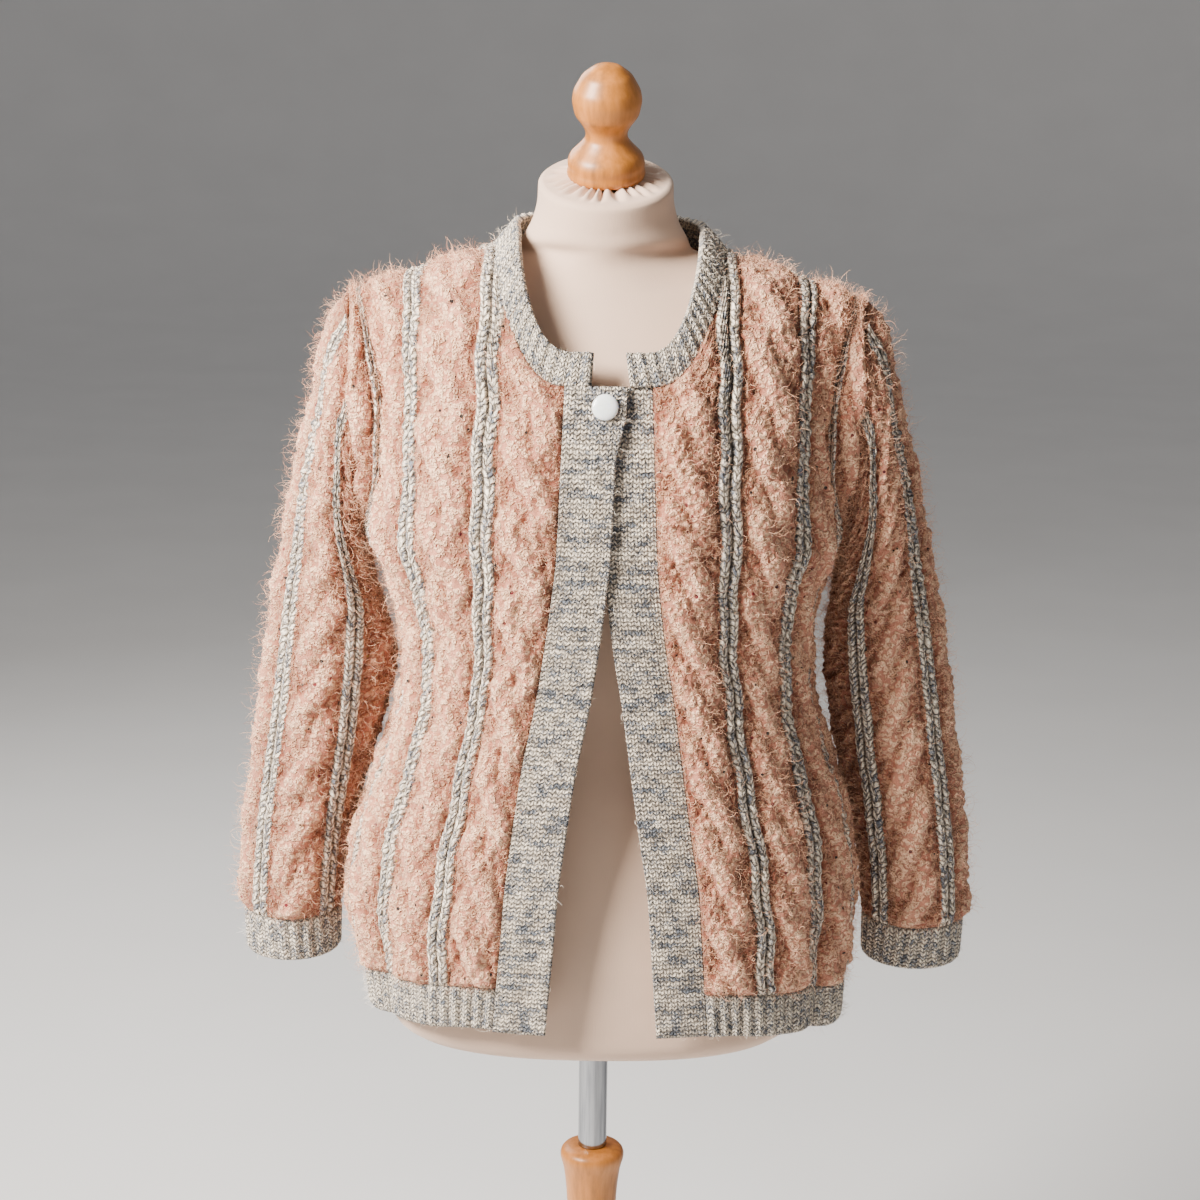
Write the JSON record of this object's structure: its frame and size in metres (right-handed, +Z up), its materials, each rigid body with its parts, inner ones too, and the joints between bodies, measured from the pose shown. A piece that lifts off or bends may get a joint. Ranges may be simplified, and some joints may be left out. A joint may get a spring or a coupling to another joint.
{
  "type": "cable knit cardigan on a limbless dress form",
  "caption": "Fuzzy cable knit cardigan with corded stripes and ribbed edges, worn open on a limbless dress form with a turned wooden finial, metal pole and wooden tripod stand.",
  "frame": {"origin": "on the floor, midway between the widest points of the whole object from side to side and from front to back", "axes": "+Z is up, the garment's front faces -Y, and its own left side is at +X"},
  "size_m": [0.61, 0.375, 1.4488],
  "materials": {
    "mohair_pink": "fuzzy brushed loop knit in salmon pink with small dark flecks",
    "marl_yarn": "matt marl of ecru, grey and blue grey strands",
    "pearl_button": "glossy pearl white",
    "cream_jersey": "smooth matt stretch jersey",
    "honey_wood": "clear satin varnish over honey coloured turned wood",
    "chrome_pole": "polished chrome"
  },
  "bodies": {
    "root": {"front_right": "mohair_pink", "front_left": "mohair_pink", "back": "mohair_pink", "sleeve_right": "mohair_pink", "sleeve_left": "mohair_pink", "cuff_right": "marl_yarn", "cuff_left": "marl_yarn", "hem_rib_right": "marl_yarn", "hem_rib_left": "marl_yarn", "hem_rib_back": "marl_yarn", "band_right": "marl_yarn", "band_left": "marl_yarn", "neckband": "marl_yarn", "button": "pearl_button", "dress_form": "cream_jersey", "finial": "honey_wood", "pole": "chrome_pole", "stand_column": "honey_wood", "stand_leg_1": "honey_wood", "stand_leg_2": "honey_wood", "stand_leg_3": "honey_wood"}
  },
  "joints": []
}
